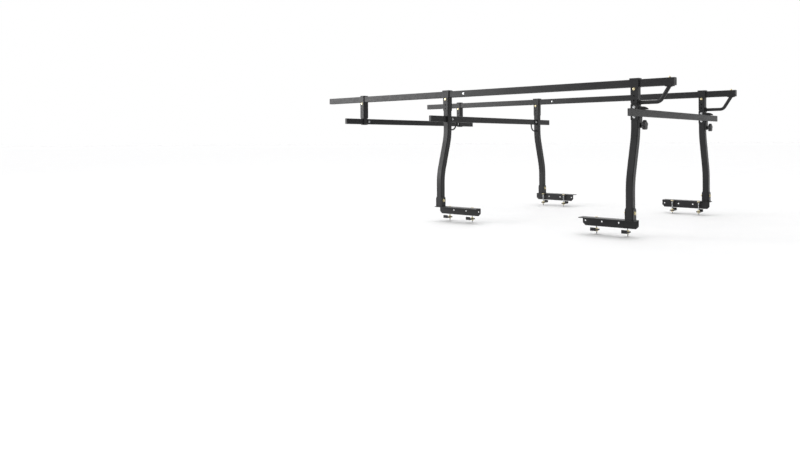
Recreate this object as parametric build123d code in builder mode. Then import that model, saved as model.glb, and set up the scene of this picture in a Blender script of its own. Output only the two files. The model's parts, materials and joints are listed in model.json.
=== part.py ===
from build123d import *
import os

os.makedirs("parts", exist_ok=True)

# Over-cab ladder rack for a pickup bed, in millimetres.
# +X is the passenger side, +Y the front of the truck, +Z up.
# Z = 0 is the top of the bed rails; the origin is midway between the four posts.

# ---- driving dimensions: layout ----
RAIL_TRACK = 1470.0        # between the centres of the two side rails
BASE_TRACK = 1662.0        # between the centres of the post feet
POST_PITCH = 1510.0        # from the rear posts to the front posts
CAB_REACH = 910.0          # from the front posts to the cab posts
FRONT_OVERHANG = 415.0     # rail beyond the cab posts
REAR_OVERHANG = 250.0      # rail beyond the rear posts
RAIL_TOP = 912.0           # top of the side rails above the bed rails
CROSSBAR_Z = 693.0         # centre height of all three crossbars
CROSSBAR_LENGTH = 1924.0   # tube length, without its end caps

# ---- driving dimensions: sections ----
RAIL_WIDTH, RAIL_HEIGHT, RAIL_WALL, RAIL_CORNER = 44.0, 50.0, 2.0, 4.0
POST_WIDTH, POST_DEPTH, POST_WALL, POST_CORNER = 50.0, 46.0, 2.5, 5.0
BAR_DEPTH, BAR_HEIGHT, BAR_WALL, BAR_CORNER = 20.0, 48.0, 2.0, 3.0
BEND_LOW, BEND_HIGH, BEND_RADIUS = 250.0, 557.0, 420.0
FIT_GAP = 0.2              # clearance around a tube inside its bracket
WINDOW_GAP = 0.3           # clearance around a crossbar in a post's window
OVERCUT = 1.0              # how far a cut runs past the face it leaves

# ---- driving dimensions: brackets ----
SADDLE_THICK, SADDLE_FOOT_Z = 5.0, 757.0
SADDLE_CAP_DEPTH, SADDLE_LEG_DEPTH = 60.0, 44.0    # along the rail, over it and below it
SADDLE_CAP = 9.0           # thickness over the rail
SADDLE_CROWN, SADDLE_TOE = 7.0, 8.0    # corner radii at the top and at the legs' ends
SADDLE_HOLES = (850.0, 805.0, 775.0)   # bolted hole first, then the spare ones
RECEIVER_HOLES = (732.5, 669.0)
RECEIVER_THICK, CHEEK_THICK = 6.0, 4.0
RECEIVER_LOW, RECEIVER_HIGH, CHEEK_LOW = 597.0, 735.0, 650.0
CHEEK_HIGH = 750.0
HANGER_THICK, HANGER_HIGH, HANGER_CORNER = 6.0, 737.0, 10.0
EAR_THICK, EAR_REACH, EAR_TIP = 4.0, 52.0, 5.0   # reach behind the post, height at the tip
EAR_BOW = 5.0
KNOB_Z, KNOB_HOLE = 615.0, 12.0
KNOB_RADIUS, KNOB_LOBES, KNOB_LOBE_PLACE, KNOB_LOBE_RADIUS = 25.0, 5, 22.5, 11.0
KNOB_GRIP, KNOB_HUB, KNOB_HUB_RADIUS, KNOB_EDGE = 22.0, 13.0, 13.0, 3.0
KNOB_GAP = 0.3             # between the hub and the hanger
STUD_LENGTH, STUD_IN_KNOB = 55.0, 28.0
CLIP_THICK, CLIP_LEG, CLIP_HEIGHT, CLIP_BOLT = 4.0, 40.0, 44.0, 24.0
CAB_POST_DEPTH, CAB_POST_TAIL = 38.0, 5.0     # along the rail, and below the crossbar
CAB_SADDLE_GAP = 5.0       # from the cab crossbar up to the saddle's legs
GUSSET_DIAMETER, GUSSET_REACH, GUSSET_DROP, GUSSET_BEND = 12.0, 92.0, 60.0, 55.0

# ---- driving dimensions: rear braces ----
BRACE_DIAMETER, BRACE_WALL, BRACE_PLATE = 25.0, 2.0, 5.0
BRACE_Z, BRACE_CORNER, BRACE_TOP_Y, BRACE_BEND = 762.0, 157.0, 217.0, 40.0
BRACE_PLATE_HEIGHT, BRACE_PLATE_LENGTH, BRACE_PLATE_CORNER = 38.0, 52.0, 5.0
BRACE_PLATE_INSET = 4.0    # plate width under the width of the tube it lies on

# ---- driving dimensions: bed-rail bases and clamps ----
PAD_THICK, PAD_INNER, PAD_OUTER = 5.0, 786.0, 862.0
PAD_LENGTH, PAD_PAST_POST = 380.0, 37.0
FLANGE_DROP, FLANGE_CORNER = 55.0, 18.0
FLANGE_HOLE_START, FLANGE_HOLE_PITCH, FLANGE_HOLE_COUNT = 430.0, 115.0, 3
FLANGE_HOLE_Z = -22.0
FOOT_EAR_TOP, FOOT_BOLT_Z, FOOT_EAR_THICK, FOOT_EAR_CORNER = 85.0, 52.0, 5.0, 22.0
CLAMP_X, CLAMP_YS, LUG_WIDTH, LUG_INNER = 769.0, (500.0, 712.0), 36.0, 752.0
JAW_TOP, JAW_THICK, JAW_TIP, JAW_CORNER = -76.0, 8.0, 832.0, 12.0
JAW_TOOTH, JAW_TOOTH_CREST, JAW_TOOTH_HEIGHT = 12.0, 8.0, 14.0
CLAMP_BOLT_END = -108.0

# ---- driving dimensions: rail joint, caps and fasteners ----
SPLICE_Y, SPLICE_LENGTH, SPLICE_BOLT_Y, SPLICE_WALL = 540.0, 150.0, 585.0, 3.0
CAP_FLANGE, CAP_PLUG, CAP_EDGE = 3.0, 15.0, 0.8
BOLT_SPARE = 12.0          # bolt length beyond its grip: the nut and a few threads
STUD_END = 10.0            # brace stud above the rail: its nut and a few threads
M8, M10 = 8.0, 10.0
CLEARANCE = 0.5            # hole radius over bolt radius
THREAD_GAP = 0.05          # tapped hole radius over bolt radius
HEX_ACROSS = {M8: 13.0, M10: 17.0}
HEAD_HEIGHT = {M8: 5.3, M10: 6.4}
NUT_HEIGHT = {M8: 6.8, M10: 8.0}
HEX_EDGE, SHANK_END = 0.5, 0.8

# ---- derived places ----
RAIL_X = RAIL_TRACK / 2
BASE_X = BASE_TRACK / 2
POST_Y = POST_PITCH / 2
CAB_Y = POST_Y + CAB_REACH
RAIL_BOTTOM = RAIL_TOP - RAIL_HEIGHT
RAIL_MID_Z = RAIL_TOP - RAIL_HEIGHT / 2
RAIL_FRONT = CAB_Y + FRONT_OVERHANG
RAIL_REAR = -POST_Y - REAR_OVERHANG
REAR_FACE = -POST_Y - POST_DEPTH / 2
PLATE_Y = REAR_FACE - RECEIVER_THICK
REAR_BAR_FRONT = PLATE_Y - HANGER_THICK
REAR_BAR_Y = REAR_BAR_FRONT - BAR_DEPTH / 2
BAR_TOP = CROSSBAR_Z + BAR_HEIGHT / 2
BAR_LOW = CROSSBAR_Z - BAR_HEIGHT / 2
CAB_POST_FOOT = BAR_LOW - CAB_POST_TAIL
FLANGE_HOLES = [FLANGE_HOLE_START + i * FLANGE_HOLE_PITCH for i in range(FLANGE_HOLE_COUNT)]

LEFT, RIGHT = -1, 1
UPRIGHT = 90               # angle from local X to local Y, in degrees
FRONT, REAR = 1, -1
SIDES = {"left": LEFT, "right": RIGHT}
ENDS = {"front": FRONT, "rear": REAR}


def save(piece, label):
    """Label a finished piece and write its STEP file."""
    piece.label = label
    export_step(piece, f"parts/{label}.step")


def group(solids):
    """Several separate solids that share one node."""
    return Compound(children=list(solids))


def tube(width, height, wall, corner):
    """Section of a rectangular tube with rounded corners, drawn in the current sketch."""
    RectangleRounded(width, height, corner)
    RectangleRounded(width - 2 * wall, height - 2 * wall, corner - wall, mode=Mode.SUBTRACT)


def plane_across(x):
    """Plane facing +X at x: its local axes run along +Y and +Z."""
    return Plane(origin=(x, 0, 0), x_dir=(0, 1, 0), z_dir=(1, 0, 0))


def plane_along(y):
    """Plane facing +Y at y: its local axes run along -X and +Z."""
    return Plane(origin=(0, y, 0), x_dir=(-1, 0, 0), z_dir=(0, 1, 0))


def hole_across(x, y, zs, radius, span):
    """Drill through the part along X at each height in zs, span to each side of x."""
    with BuildSketch(plane_across(x - span)) as holes:
        with Locations(*[(y, z) for z in zs]):
            Circle(radius)
    extrude(holes.sketch, amount=2 * span, mode=Mode.SUBTRACT)


def hole_along(x, y, zs, radius, span):
    """Drill through the part along Y at each height in zs, span to each side of y."""
    with BuildSketch(plane_along(y - span)) as holes:
        with Locations(*[(-x, z) for z in zs]):
            Circle(radius)
    extrude(holes.sketch, amount=2 * span, mode=Mode.SUBTRACT)


def window(x, y):
    """Cut the opening that a crossbar passes through."""
    with BuildSketch(plane_across(x - POST_WIDTH)) as opening:
        with Locations((y, CROSSBAR_Z)):
            Rectangle(BAR_DEPTH + 2 * WINDOW_GAP, BAR_HEIGHT + 2 * WINDOW_GAP)
    extrude(opening.sketch, amount=2 * POST_WIDTH, mode=Mode.SUBTRACT)


# ---------------------------------------------------------------- fasteners
def make_bolt(size, length):
    """Hex bolt: the head sits on Z = 0 and rises, the shank goes down."""
    with BuildPart() as bolt:
        with BuildSketch(Plane.XY):
            RegularPolygon(HEX_ACROSS[size] / 2, 6, major_radius=False)
        extrude(amount=HEAD_HEIGHT[size])
        chamfer(bolt.edges().group_by(Axis.Z)[-1], HEX_EDGE)
        with BuildSketch(Plane.XY):
            Circle(size / 2)
        extrude(amount=-length)
        chamfer(bolt.edges().group_by(Axis.Z)[0], SHANK_END)
    return bolt.part


def make_nut(size):
    """Hex nut standing on Z = 0."""
    with BuildPart() as nut:
        with BuildSketch(Plane.XY):
            RegularPolygon(HEX_ACROSS[size] / 2, 6, major_radius=False)
            Circle(size / 2 + THREAD_GAP, mode=Mode.SUBTRACT)
        extrude(amount=NUT_HEIGHT[size])
        outer = nut.edges().filter_by(GeomType.LINE).group_by(Axis.Z)
        chamfer(outer[0] + outer[-1], HEX_EDGE)
    return nut.part


def facing(x, y, z, direction):
    """Location at a point, with local +Z along the given direction."""
    return Plane(origin=(x, y, z), z_dir=direction).location


# ---------------------------------------------------------------- posts
def make_post(side, end):
    """S-curved square tube: it stands on its foot and leans in to meet the rail."""
    x, y = side * RAIL_X, end * POST_Y
    foot = (side * BASE_X, y, PAD_THICK)
    with BuildPart() as post:
        with BuildLine() as path:
            FilletPolyline(foot, (side * BASE_X, y, BEND_LOW), (x, y, BEND_HIGH),
                           (x, y, RAIL_BOTTOM), radius=BEND_RADIUS)
        with BuildSketch(Plane(origin=foot, x_dir=(1, 0, 0), z_dir=(0, 0, 1))):
            tube(POST_WIDTH, POST_DEPTH, POST_WALL, POST_CORNER)
        sweep(path=path.wires()[0])
        hole_across(x, y, SADDLE_HOLES, M8 / 2 + CLEARANCE, POST_WIDTH)
        hole_along(side * BASE_X, y, [FOOT_BOLT_Z], M10 / 2 + CLEARANCE, POST_DEPTH)
        if end == FRONT:
            window(x, y)
        else:
            hole_across(x, y, RECEIVER_HOLES, M8 / 2 + CLEARANCE, POST_WIDTH)
            hole_along(x, y, [BRACE_Z], M8 / 2 + CLEARANCE, POST_DEPTH)
            hole_along(x, REAR_FACE, [KNOB_Z], KNOB_HOLE / 2, POST_WALL * 2)
    return post.part


def make_cab_post(side):
    """Short straight post that hangs the cab crossbar under the rail."""
    x = side * RAIL_X
    with BuildPart() as post:
        with BuildSketch(Plane(origin=(x, CAB_Y, CAB_POST_FOOT))):
            tube(POST_WIDTH, CAB_POST_DEPTH, POST_WALL, POST_CORNER)
        extrude(amount=RAIL_BOTTOM - CAB_POST_FOOT)
        hole_across(x, CAB_Y, SADDLE_HOLES, M8 / 2 + CLEARANCE, POST_WIDTH)
        window(x, CAB_Y)
    return post.part


def make_saddle(side, y, cap_depth, leg_depth, foot_z):
    """Strap over the rail whose two legs are bolted to the post below."""
    x = side * RAIL_X
    gap = POST_WIDTH + 2 * FIT_GAP
    outer = gap + 2 * SADDLE_THICK
    top = RAIL_TOP + SADDLE_CAP
    with BuildPart() as saddle:
        with BuildSketch(plane_along(y - cap_depth / 2)):
            with Locations((-x, (RAIL_BOTTOM + top) / 2)):
                crown = Rectangle(outer, top - RAIL_BOTTOM)
            fillet(crown.vertices().group_by(Axis.Y)[-1], SADDLE_CROWN)
            with Locations((-x, RAIL_MID_Z)):
                Rectangle(gap, RAIL_HEIGHT, mode=Mode.SUBTRACT)
        extrude(amount=cap_depth)
        with BuildSketch(plane_along(y - leg_depth / 2)):
            with Locations((-x, (foot_z + RAIL_BOTTOM) / 2)):
                Rectangle(outer, RAIL_BOTTOM - foot_z)
                Rectangle(gap, RAIL_BOTTOM - foot_z, mode=Mode.SUBTRACT)
        extrude(amount=leg_depth)
        corners = saddle.edges().filter_by(Axis.X).group_by(Axis.Z)[0]
        fillet(corners, SADDLE_TOE)
        hole_across(x, y, SADDLE_HOLES, M8 / 2 + CLEARANCE, POST_WIDTH)
    return saddle.part


for side_name, side in SIDES.items():
    for end_name, end in ENDS.items():
        save(make_post(side, end), f"post_{side_name}_{end_name}")
        saddle = make_saddle(side, end * POST_Y, SADDLE_CAP_DEPTH, SADDLE_LEG_DEPTH, SADDLE_FOOT_Z)
        save(saddle, f"rail_saddle_{side_name}_{end_name}")
    save(make_cab_post(side), f"cab_post_{side_name}")
    saddle = make_saddle(side, CAB_Y, CAB_POST_DEPTH, CAB_POST_DEPTH, BAR_TOP + CAB_SADDLE_GAP)
    save(saddle, f"rail_saddle_{side_name}_cab")


# ---------------------------------------------------------------- side rails
def make_rail(side, y_start, y_end):
    """One length of rectangular side rail, drilled for its bolts."""
    x = side * RAIL_X
    with BuildPart() as rail:
        with BuildSketch(plane_along(y_start)):
            with Locations((-x, RAIL_MID_Z)):
                tube(RAIL_WIDTH, RAIL_HEIGHT, RAIL_WALL, RAIL_CORNER)
        extrude(amount=y_end - y_start)
        if y_start < SPLICE_BOLT_Y < y_end:
            hole_across(x, SPLICE_BOLT_Y, [RAIL_MID_Z], M8 / 2 + CLEARANCE, RAIL_WIDTH)
        else:
            with BuildSketch(Plane.XY.offset(RAIL_BOTTOM - OVERCUT)):
                with Locations((x, -POST_Y - BRACE_TOP_Y)):
                    Circle(M8 / 2 + CLEARANCE)
            extrude(amount=RAIL_HEIGHT + 2 * OVERCUT, mode=Mode.SUBTRACT)
    return rail.part


def make_splice(side):
    """Sleeve inside the rail joint, welded in the rear rail and bolted to the front one."""
    x = side * RAIL_X
    inset = 2 * (RAIL_WALL + FIT_GAP)
    with BuildPart() as splice:
        with BuildSketch(plane_along(SPLICE_Y - SPLICE_LENGTH / 2)):
            with Locations((-x, RAIL_MID_Z)):
                tube(RAIL_WIDTH - inset, RAIL_HEIGHT - inset, SPLICE_WALL, RAIL_CORNER)
        extrude(amount=SPLICE_LENGTH)
        hole_across(x, SPLICE_BOLT_Y, [RAIL_MID_Z], M8 / 2 + CLEARANCE, RAIL_WIDTH)
    return splice.part


for side_name, side in SIDES.items():
    save(make_rail(side, SPLICE_Y, RAIL_FRONT), f"side_rail_{side_name}_front")
    save(make_rail(side, RAIL_REAR, SPLICE_Y), f"side_rail_{side_name}_rear")
    save(make_splice(side), f"rail_splice_{side_name}")


# ---------------------------------------------------------------- crossbars
def make_crossbar(y, drilled):
    """Flat rectangular tube across the truck; fixed bars are drilled for their clips."""
    with BuildPart() as bar:
        with BuildSketch(plane_across(-CROSSBAR_LENGTH / 2)):
            with Locations((y, CROSSBAR_Z)):
                tube(BAR_DEPTH, BAR_HEIGHT, BAR_WALL, BAR_CORNER)
        extrude(amount=CROSSBAR_LENGTH)
        if drilled:
            for x in clip_bolt_xs():
                hole_along(x, y, [CROSSBAR_Z], M8 / 2 + CLEARANCE, BAR_DEPTH)
    return bar.part


def clip_faces():
    """Inner side faces of two posts, with the way each face looks along X."""
    return [(side * (RAIL_X - POST_WIDTH / 2), -side) for side in (LEFT, RIGHT)]


def clip_bolt_xs():
    """X of every clip bolt on one crossbar."""
    return [face + way * CLIP_BOLT for face, way in clip_faces()]


def make_clip(face, way, y, post_depth):
    """Angle that ties a crossbar to the side of the post it passes through."""
    bar_rear = y - BAR_DEPTH / 2
    post_rear = y - post_depth / 2
    low = CROSSBAR_Z - CLIP_HEIGHT / 2
    with BuildPart() as clip:
        with BuildSketch(Plane.XY.offset(low)):
            with BuildLine():
                Polyline((face, post_rear), (face + way * CLIP_THICK, post_rear),
                         (face + way * CLIP_THICK, bar_rear - CLIP_THICK),
                         (face + way * CLIP_LEG, bar_rear - CLIP_THICK),
                         (face + way * CLIP_LEG, bar_rear), (face, bar_rear), close=True)
            make_face()
        extrude(amount=CLIP_HEIGHT)
        hole_along(face + way * CLIP_BOLT, bar_rear, [CROSSBAR_Z], M8 / 2 + CLEARANCE, BAR_DEPTH)
    return clip.part


def make_gusset(side):
    """Round bar bent round the corner under the front crossbar, from the bar to the post."""
    post_face = side * (RAIL_X - POST_WIDTH / 2)
    bar_end = (post_face - side * GUSSET_REACH, POST_Y, BAR_LOW)
    corner = (bar_end[0], POST_Y, BAR_LOW - GUSSET_DROP)
    with BuildPart() as gusset:
        with BuildLine() as path:
            FilletPolyline(bar_end, corner, (post_face, POST_Y, corner[2]), radius=GUSSET_BEND)
        with BuildSketch(Plane(origin=bar_end, z_dir=(0, 0, -1))):
            Circle(GUSSET_DIAMETER / 2)
        sweep(path=path.wires()[0])
    return gusset.part


save(make_crossbar(CAB_Y, True), "crossbar_cab")
save(make_crossbar(POST_Y, True), "crossbar_front")
save(make_crossbar(REAR_BAR_Y, False), "crossbar_rear")
clips = [make_clip(face, way, y, depth) for y, depth in ((POST_Y, POST_DEPTH), (CAB_Y, CAB_POST_DEPTH))
         for face, way in clip_faces()]
save(group(clips), "crossbar_clips")
for side_name, side in SIDES.items():
    save(make_gusset(side), f"gusset_{side_name}")


# ---------------------------------------------------------------- removable rear crossbar
def make_receiver(side):
    """Bracket around the rear post that the removable crossbar is clamped to."""
    x = side * RAIL_X
    inner = POST_WIDTH / 2 + FIT_GAP
    outer = inner + CHEEK_THICK
    with BuildPart() as receiver:
        with BuildSketch(Plane.XY.offset(CHEEK_LOW)):
            with Locations((x, -POST_Y - RECEIVER_THICK / 2)):
                Rectangle(2 * outer, POST_DEPTH + RECEIVER_THICK)
            with Locations((x, -POST_Y)):
                Rectangle(2 * inner, POST_DEPTH, mode=Mode.SUBTRACT)
        extrude(amount=RECEIVER_HIGH - CHEEK_LOW)
        for way in (-1, 1):
            with BuildSketch(Plane.XY.offset(RECEIVER_HIGH)):
                with Locations((x + way * (inner + outer) / 2, -POST_Y)):
                    Rectangle(CHEEK_THICK, POST_DEPTH)
            extrude(amount=CHEEK_HIGH - RECEIVER_HIGH)
        with BuildSketch(Plane.XY.offset(RECEIVER_LOW)):
            with Locations((x, PLATE_Y + RECEIVER_THICK / 2)):
                Rectangle(POST_WIDTH, RECEIVER_THICK)
        extrude(amount=CHEEK_LOW - RECEIVER_LOW)
        hole_across(x, -POST_Y, RECEIVER_HOLES, M8 / 2 + CLEARANCE, POST_WIDTH)
        hole_along(x, REAR_FACE, [KNOB_Z], M8 / 2 + THREAD_GAP, 2 * RECEIVER_THICK)
    return receiver.part


def make_hanger(side):
    """Plate welded to the rear crossbar, with two curved ears that reach over the bar's top."""
    x = side * RAIL_X
    half = POST_WIDTH / 2
    tip_y = REAR_FACE - EAR_REACH
    top = (REAR_BAR_FRONT, HANGER_HIGH)
    tip = (tip_y, BAR_TOP + EAR_TIP)
    crest = ((top[0] + tip[0]) / 2, (top[1] + tip[1]) / 2 + EAR_BOW)
    with BuildPart() as hanger:
        with BuildSketch(plane_along(REAR_BAR_FRONT)):
            with Locations((-x, (RECEIVER_LOW + HANGER_HIGH) / 2)):
                plate = Rectangle(POST_WIDTH, HANGER_HIGH - RECEIVER_LOW)
            fillet(plate.vertices().group_by(Axis.Y)[0], HANGER_CORNER)
        extrude(amount=HANGER_THICK)
        for way in (-1, 1):
            with BuildSketch(plane_across(x + way * half - (way + 1) / 2 * EAR_THICK)):
                with BuildLine():
                    Polyline(tip, (tip_y, BAR_TOP), (REAR_BAR_FRONT, BAR_TOP), top)
                    ThreePointArc(top, crest, tip)
                make_face()
            extrude(amount=EAR_THICK)
        hole_along(x, REAR_BAR_FRONT, [KNOB_Z], M8 / 2 + THREAD_GAP, 2 * HANGER_THICK)
    return hanger.part


def make_knob(side):
    """Five-lobed plastic knob with a hub that presses on the hanger."""
    hub_start = REAR_BAR_FRONT - KNOB_GAP
    grip_start = hub_start - KNOB_HUB
    centre = (-side * RAIL_X, KNOB_Z)
    with BuildPart() as knob:
        with BuildSketch(plane_along(hub_start)):
            with Locations(centre):
                Circle(KNOB_HUB_RADIUS)
        extrude(amount=-KNOB_HUB)
        with BuildSketch(plane_along(grip_start)):
            with Locations(centre):
                Circle(KNOB_RADIUS)
                with PolarLocations(KNOB_LOBE_PLACE, KNOB_LOBES, start_angle=UPRIGHT):
                    Circle(KNOB_LOBE_RADIUS)
        extrude(amount=-KNOB_GRIP)
        fillet(knob.edges().group_by(Axis.Y)[0], KNOB_EDGE)
        hole_along(-centre[0], hub_start, [KNOB_Z], M8 / 2, STUD_IN_KNOB)
    return knob.part


def make_stud(side):
    """Threaded stud moulded in the knob; it screws into the receiver's web."""
    with BuildPart() as stud:
        with BuildSketch(plane_along(REAR_BAR_FRONT - KNOB_GAP - STUD_IN_KNOB)):
            with Locations((-side * RAIL_X, KNOB_Z)):
                Circle(M8 / 2)
        extrude(amount=STUD_LENGTH)
        chamfer(stud.edges().group_by(Axis.Y)[-1], SHANK_END)
    return stud.part


for side_name, side in SIDES.items():
    save(make_receiver(side), f"crossbar_receiver_{side_name}")
    save(make_hanger(side), f"crossbar_hanger_{side_name}")
    save(make_knob(side), f"knob_{side_name}")
    save(make_stud(side), f"knob_stud_{side_name}")


# ---------------------------------------------------------------- rear braces
def make_brace(side):
    """Bent round tube from the rear post up to the rail's end, with a plate at each end."""
    x = side * RAIL_X
    start = (x, REAR_FACE - BRACE_PLATE, BRACE_Z)
    corner = (x, -POST_Y - BRACE_CORNER, BRACE_Z)
    end = (x, -POST_Y - BRACE_TOP_Y, RAIL_BOTTOM - OVERCUT)
    with BuildPart() as brace:
        with BuildLine() as path:
            FilletPolyline(start, corner, end, radius=BRACE_BEND)
        with BuildSketch(Plane(origin=start, x_dir=(1, 0, 0), z_dir=(0, -1, 0))):
            Circle(BRACE_DIAMETER / 2)
            Circle(BRACE_DIAMETER / 2 - BRACE_WALL, mode=Mode.SUBTRACT)
        sweep(path=path.wires()[0])
        with BuildSketch(Plane.XY.offset(RAIL_BOTTOM)):
            with Locations((x, end[1])):
                Rectangle(4 * BRACE_DIAMETER, 4 * BRACE_DIAMETER)
        extrude(amount=2 * BRACE_DIAMETER, mode=Mode.SUBTRACT)
        with BuildSketch(plane_along(REAR_FACE - BRACE_PLATE)):
            with Locations((-x, BRACE_Z)):
                RectangleRounded(POST_WIDTH - BRACE_PLATE_INSET, BRACE_PLATE_HEIGHT,
                                 BRACE_PLATE_CORNER)
        extrude(amount=BRACE_PLATE)
        with BuildSketch(Plane.XY.offset(RAIL_BOTTOM - BRACE_PLATE)):
            with Locations((x, end[1])):
                RectangleRounded(RAIL_WIDTH - BRACE_PLATE_INSET, BRACE_PLATE_LENGTH,
                                 BRACE_PLATE_CORNER)
        extrude(amount=BRACE_PLATE)
        hole_along(x, REAR_FACE, [BRACE_Z], M8 / 2 + THREAD_GAP, 2 * BRACE_PLATE)
        with BuildSketch(Plane.XY.offset(RAIL_BOTTOM - 2 * BRACE_PLATE)):
            with Locations((x, end[1])):
                Circle(M8 / 2 + THREAD_GAP)
        extrude(amount=3 * BRACE_PLATE, mode=Mode.SUBTRACT)
    return brace.part


for side_name, side in SIDES.items():
    save(make_brace(side), f"rear_brace_{side_name}")


# ---------------------------------------------------------------- bed-rail bases
def make_base(side, end):
    """Angle on the bed rail with two ears for the post and two lugs for the clamps."""
    y_outer = end * (POST_Y + PAD_PAST_POST)
    y_mid = y_outer - end * PAD_LENGTH / 2
    ear_gap = POST_DEPTH / 2 + FIT_GAP
    with BuildPart() as base:
        with BuildSketch(Plane.XY):
            with Locations((side * (PAD_INNER + PAD_OUTER) / 2, y_mid)):
                Rectangle(PAD_OUTER - PAD_INNER, PAD_LENGTH)
        extrude(amount=PAD_THICK)
        with BuildSketch(plane_across(side * PAD_INNER)):
            with Locations((y_mid, PAD_THICK / 2 - FLANGE_DROP / 2)):
                wall = Rectangle(PAD_LENGTH, FLANGE_DROP + PAD_THICK)
            chamfer(wall.vertices().group_by(Axis.Y)[0], FLANGE_CORNER)
            with Locations(*[(end * y, FLANGE_HOLE_Z) for y in FLANGE_HOLES]):
                Circle(M10 / 2 + CLEARANCE, mode=Mode.SUBTRACT)
        extrude(amount=side * PAD_THICK)
        for ear_start in (-ear_gap - FOOT_EAR_THICK, ear_gap):
            with BuildSketch(plane_along(end * POST_Y + ear_start)):
                with Locations((-side * BASE_X, (PAD_THICK + FOOT_EAR_TOP) / 2)):
                    ear = Rectangle(POST_WIDTH, FOOT_EAR_TOP - PAD_THICK)
                fillet(ear.vertices().group_by(Axis.Y)[-1], FOOT_EAR_CORNER)
                with Locations((-side * BASE_X, FOOT_BOLT_Z)):
                    Circle(M10 / 2 + CLEARANCE, mode=Mode.SUBTRACT)
            extrude(amount=FOOT_EAR_THICK)
        with BuildSketch(Plane.XY.offset(-PAD_THICK)):
            with Locations(*[(side * (LUG_INNER + PAD_INNER) / 2, end * y) for y in CLAMP_YS]):
                Rectangle(PAD_INNER - LUG_INNER, LUG_WIDTH)
            with Locations(*[(side * CLAMP_X, end * y) for y in CLAMP_YS]):
                Circle(M10 / 2 + CLEARANCE, mode=Mode.SUBTRACT)
        extrude(amount=PAD_THICK)
    return base.part


def make_jaw(side, y):
    """Clamp jaw that reaches under the bed rail's lip, with an upturned tooth."""
    tooth_top = JAW_TOP + JAW_TOOTH_HEIGHT
    jaw_low = JAW_TOP - JAW_THICK
    outline = [(LUG_INNER, jaw_low), (JAW_TIP, jaw_low), (JAW_TIP, tooth_top),
               (JAW_TIP - JAW_TOOTH_CREST, tooth_top), (JAW_TIP - JAW_TOOTH, JAW_TOP),
               (LUG_INNER, JAW_TOP)]
    with BuildPart() as jaw:
        with BuildSketch(plane_along(y - LUG_WIDTH / 2)):
            with BuildLine():
                Polyline(*[(-side * x, z) for x, z in outline], close=True)
            make_face()
        extrude(amount=LUG_WIDTH)
        inner_end = jaw.edges().filter_by(Axis.Z).sort_by(lambda e: abs(e.center().X))[:2]
        fillet(inner_end, JAW_CORNER)
        with BuildSketch(Plane.XY.offset(jaw_low - OVERCUT)):
            with Locations((side * CLAMP_X, y)):
                Circle(M10 / 2 + CLEARANCE)
        extrude(amount=JAW_THICK + 2 * OVERCUT, mode=Mode.SUBTRACT)
    return jaw.part


M10_NUT = make_nut(M10)
M8_NUT = make_nut(M8)
clamp_bolts = []
for side_name, side in SIDES.items():
    for end_name, end in ENDS.items():
        save(make_base(side, end), f"base_{side_name}_{end_name}")
        for place, distance in zip(("inner", "outer"), CLAMP_YS):
            y = end * distance
            name = f"{side_name}_{end_name}_{place}"
            upper = M10_NUT.moved(Location((side * CLAMP_X, y, JAW_TOP)))
            lower = M10_NUT.moved(Location((side * CLAMP_X, y, JAW_TOP - JAW_THICK - NUT_HEIGHT[M10])))
            save(make_jaw(side, y), f"clamp_jaw_{name}")
            save(group([upper, lower]), f"clamp_nuts_{name}")
            bolt = make_bolt(M10, -CLAMP_BOLT_END)
            clamp_bolts.append(bolt.moved(Location((side * CLAMP_X, y, 0))))
save(group(clamp_bolts), "clamp_bolts")


# ---------------------------------------------------------------- bolts and nuts of the frame
def bolt_and_nut(bolt, nut, start, direction, grip):
    """A bolt with its head at start, and its nut at the far side of the grip."""
    axis = Vector(*direction)
    head = bolt.moved(facing(*start, tuple(-axis)))
    end = Vector(*start) + axis * grip
    return head, nut.moved(facing(*end, tuple(axis)))


zinc_bolts, zinc_nuts = [], []
saddle_grip = POST_WIDTH + 2 * (FIT_GAP + SADDLE_THICK)
receiver_grip = POST_WIDTH + 2 * (FIT_GAP + CHEEK_THICK)
foot_grip = POST_DEPTH + 2 * (FIT_GAP + FOOT_EAR_THICK)
saddle_bolt = make_bolt(M8, saddle_grip + BOLT_SPARE)
receiver_bolt = make_bolt(M8, receiver_grip + BOLT_SPARE)
foot_bolt = make_bolt(M10, foot_grip + BOLT_SPARE)
brace_front = make_bolt(M8, POST_DEPTH + BRACE_PLATE + BOLT_SPARE / 2)
with BuildPart() as brace_stud:
    with BuildSketch(Plane.XY.offset(RAIL_BOTTOM - BRACE_PLATE)):
        Circle(M8 / 2)
    extrude(amount=BRACE_PLATE + RAIL_HEIGHT + STUD_END)
    chamfer(brace_stud.edges().group_by(Axis.Z)[-1], SHANK_END)
for side in (LEFT, RIGHT):
    x = side * RAIL_X
    across = (-side, 0, 0)
    for y in (-POST_Y, POST_Y, CAB_Y):
        start = (x + side * saddle_grip / 2, y, SADDLE_HOLES[0])
        bolt, nut = bolt_and_nut(saddle_bolt, M8_NUT, start, across, saddle_grip)
        zinc_bolts.append(bolt)
        zinc_nuts.append(nut)
    for z in RECEIVER_HOLES:
        start = (x + side * receiver_grip / 2, -POST_Y, z)
        bolt, nut = bolt_and_nut(receiver_bolt, M8_NUT, start, across, receiver_grip)
        zinc_bolts.append(bolt)
        zinc_nuts.append(nut)
    for end in (FRONT, REAR):
        start = (side * BASE_X, end * POST_Y - foot_grip / 2, FOOT_BOLT_Z)
        bolt, nut = bolt_and_nut(foot_bolt, M10_NUT, start, (0, 1, 0), foot_grip)
        zinc_bolts.append(bolt)
        zinc_nuts.append(nut)
    zinc_bolts.append(brace_front.moved(facing(x, -POST_Y + POST_DEPTH / 2, BRACE_Z, (0, 1, 0))))
    brace_end_y = -POST_Y - BRACE_TOP_Y
    zinc_bolts.append(brace_stud.part.moved(Location((x, brace_end_y, 0))))
    zinc_nuts.append(M8_NUT.moved(Location((x, brace_end_y, RAIL_TOP))))
save(group(zinc_bolts), "frame_bolts")
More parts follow.
